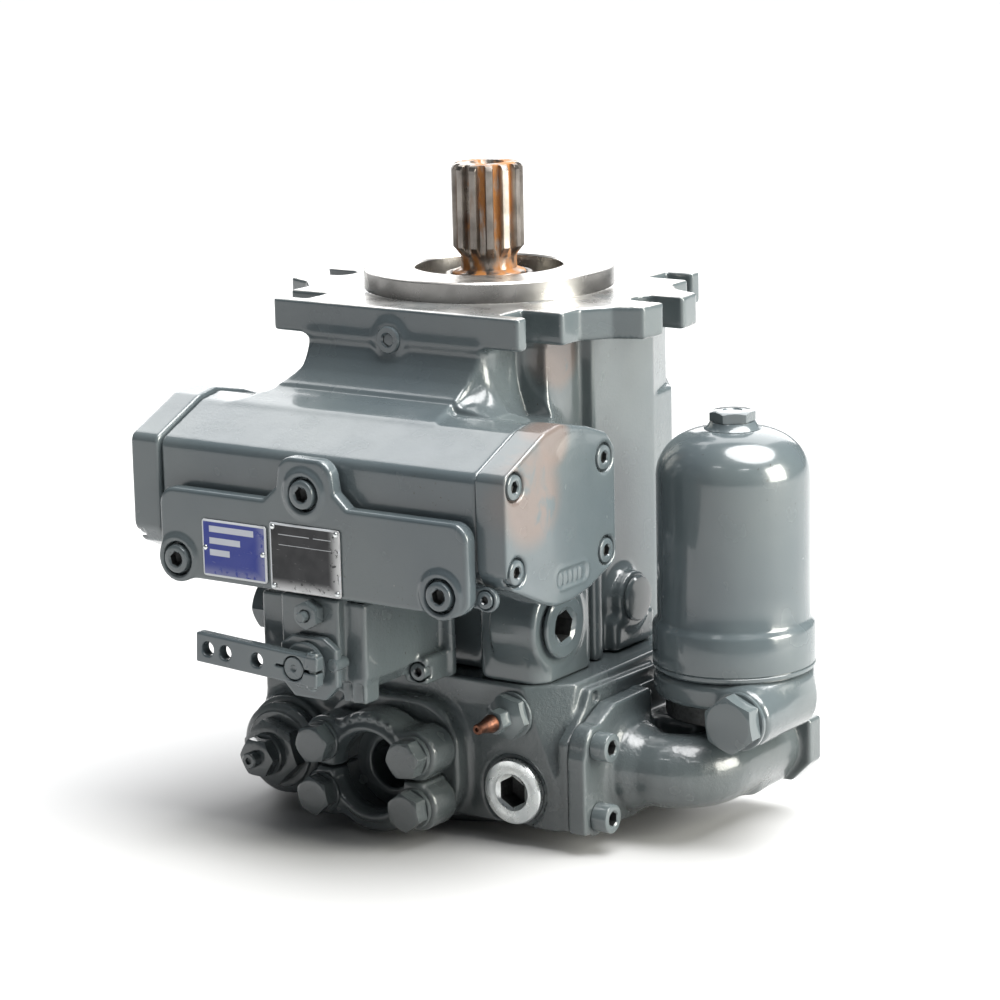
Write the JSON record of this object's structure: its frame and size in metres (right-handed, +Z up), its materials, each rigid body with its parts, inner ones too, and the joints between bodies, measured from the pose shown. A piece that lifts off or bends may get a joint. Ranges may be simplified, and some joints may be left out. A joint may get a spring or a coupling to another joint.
{
  "type": "axial piston pump",
  "caption": "Swashplate axial piston pump with mounting flange, splined shaft, cross servo cylinder, control lever, split-flange port and canister filter.",
  "frame": {"origin": "centre of the rear rest face, on the drive shaft's axis", "axes": "+Z up the drive shaft, +X along the servo cylinder towards the filter, -Y towards the control lever and name plates"},
  "size_m": [0.354, 0.3231, 0.39],
  "materials": {
    "grey_enamel": "glossy grey enamel sprayed over rough castings",
    "machined_steel": "bright turned steel",
    "shaft_steel": "oiled dark steel with rust in the spline grooves",
    "zinc_plate": "bright zinc plating",
    "copper": "dull copper",
    "blue_plate": "printed blue plate, worn",
    "black_plate": "printed black plate, worn to bare metal",
    "bearing_steel": "ground steel",
    "bronze": "bearing bronze",
    "filter_paper": "pleated filter paper"
  },
  "bodies": {
    "pump_body": {"housing": "grey_enamel", "port_block": "grey_enamel", "charge_pump_cover": "grey_enamel", "servo_cover_right": "grey_enamel", "servo_cover_left": "grey_enamel", "right_cover_screw_1": "grey_enamel", "right_cover_screw_2": "grey_enamel", "right_cover_screw_3": "grey_enamel", "right_cover_screw_4": "grey_enamel", "control_cover_plate": "grey_enamel", "plate_screw_1": "grey_enamel", "plate_screw_2": "grey_enamel", "plate_screw_3": "grey_enamel", "control_valve_block": "grey_enamel", "control_guard_plate": "grey_enamel", "control_stud": "grey_enamel", "control_nut": "grey_enamel", "split_flange_upper": "grey_enamel", "split_flange_lower": "grey_enamel", "flange_bolt_1": "grey_enamel", "flange_bolt_2": "grey_enamel", "flange_bolt_3": "grey_enamel", "flange_bolt_4": "grey_enamel", "bleed_fitting": "grey_enamel", "relief_cartridge": "grey_enamel", "relief_adjuster": "grey_enamel", "suction_manifold": "grey_enamel", "manifold_screw_1": "grey_enamel", "manifold_screw_2": "grey_enamel", "filter_head": "grey_enamel", "filter_bowl": "grey_enamel", "bowl_nut": "grey_enamel", "head_plug": "grey_enamel", "side_plug": "grey_enamel", "pin_cap": "grey_enamel", "flange_plug": "grey_enamel", "blue_name_plate": "blue_plate", "black_name_plate": "black_plate", "port_plug": "zinc_plate", "bleed_tip": "copper", "seal_retainer": "machined_steel", "front_bearing": "bearing_steel", "rear_bearing": "bearing_steel", "valve_plate": "bronze", "swash_cradle": "bearing_steel", "filter_element": "filter_paper"},
    "rotating_group": {"drive_shaft": "shaft_steel", "cylinder_block": "bearing_steel", "piston_set": "bronze", "charge_gear": "bearing_steel"},
    "charge_ring": {"charge_ring_gear": "bearing_steel"},
    "swash": {"swashplate": "bearing_steel"},
    "servo": {"servo_piston": "bearing_steel"},
    "lever": {"control_lever": "grey_enamel", "control_shaft": "grey_enamel", "clamp_screw": "grey_enamel"}
  },
  "joints": [
    {"name": "shaft_spin", "type": "hinge", "parent": "pump_body", "child": "rotating_group", "pos_m": [0, 0, 0.36], "axis": [0, 0, 1], "continuous": true},
    {"name": "charge_ring_spin", "type": "hinge", "parent": "pump_body", "child": "charge_ring", "pos_m": [-0.006, 0, 0.02], "axis": [0, 0, 1], "continuous": true},
    {"name": "control_lever_turn", "type": "hinge", "parent": "pump_body", "child": "lever", "pos_m": [0, -0.2, 0.122], "axis": [0, 1, 0], "range_deg": [-30, 30]},
    {"name": "swash_tilt", "type": "hinge", "parent": "pump_body", "child": "swash", "pos_m": [0, 0, 0.245], "axis": [0, 1, 0], "range_deg": [-15, 15], "deforming": ["piston_set"]},
    {"name": "servo_slide", "type": "slide", "parent": "pump_body", "child": "servo", "axis": [1, 0, 0], "range_m": [-0.009, 0.009]}
  ],
  "couplings": [
    {"joint": "charge_ring_spin", "follows": "shaft_spin", "ratio": 0.71429},
    {"joint": "control_lever_turn", "follows": "swash_tilt", "ratio": 2},
    {"joint": "servo_slide", "follows": "swash_tilt", "m_per_rad": -0.034}
  ]
}
